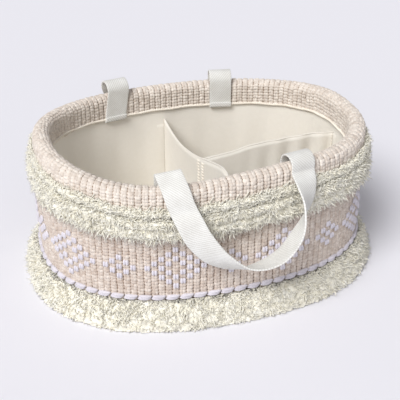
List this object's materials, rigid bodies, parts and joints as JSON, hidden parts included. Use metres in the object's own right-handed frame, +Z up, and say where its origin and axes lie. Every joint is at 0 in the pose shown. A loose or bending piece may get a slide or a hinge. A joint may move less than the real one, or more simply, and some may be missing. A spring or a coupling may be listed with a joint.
{
  "type": "diaper caddy",
  "caption": "Oval soft diaper caddy with a padded rolled rim, yarn fringe bands, a divided cotton lining and webbing carry handles that hang outside.",
  "frame": {"origin": "on the floor under the middle of the caddy", "axes": "+X along the length, +Z up, the side with the front handle towards -Y"},
  "size_m": [0.3826, 0.3318, 0.1616],
  "materials": {
    "woven_cotton": "ribbed flat weave, pinkish beige",
    "fringe_yarn": "cut cotton yarn, cream",
    "stitch_yarn": "soft yarn, pale lavender",
    "lining_cotton": "plain weave cotton, off-white",
    "webbing": "twill cotton webbing, near white",
    "padding": "needled felt",
    "base_board": "raw fibreboard"
  },
  "bodies": {
    "caddy": {"base_panel": "woven_cotton", "outer_wall": "woven_cotton", "rim_cuff": "woven_cotton", "upper_fringe_header": "fringe_yarn", "upper_fringe": "fringe_yarn", "lower_fringe": "fringe_yarn", "lining_floor": "lining_cotton", "lining_wall": "lining_cotton", "cuff_hem_cord": "lining_cotton", "cross_divider": "lining_cotton", "cross_divider_hem": "lining_cotton", "long_divider": "lining_cotton", "long_divider_hem": "lining_cotton", "rear_seam_flange": "lining_cotton", "front_seam_flange": "lining_cotton", "end_seam_flange": "lining_cotton", "front_left_handle_tab": "webbing", "front_left_handle_bend": "webbing", "front_right_handle_tab": "webbing", "front_right_handle_bend": "webbing", "rear_left_handle_tab": "webbing", "rear_left_handle_bend": "webbing", "rear_right_handle_tab": "webbing", "rear_right_handle_bend": "webbing", "running_stitch": "stitch_yarn", "wall_padding": "padding", "base_board": "base_board"},
    "front_handle": {"front_handle": "webbing"},
    "rear_handle": {"rear_handle": "webbing"}
  },
  "joints": [
    {"name": "front_handle_swing", "type": "hinge", "parent": "caddy", "child": "front_handle", "pos_m": [0, -0.11348, 0.15085], "axis": [-1, 0, 0], "range_deg": [0, 180], "deforming": ["front_left_handle_bend", "front_right_handle_bend"]},
    {"name": "rear_handle_swing", "type": "hinge", "parent": "caddy", "child": "rear_handle", "pos_m": [0, 0.11348, 0.15085], "axis": [1, 0, 0], "range_deg": [0, 180], "deforming": ["rear_left_handle_bend", "rear_right_handle_bend"]}
  ]
}
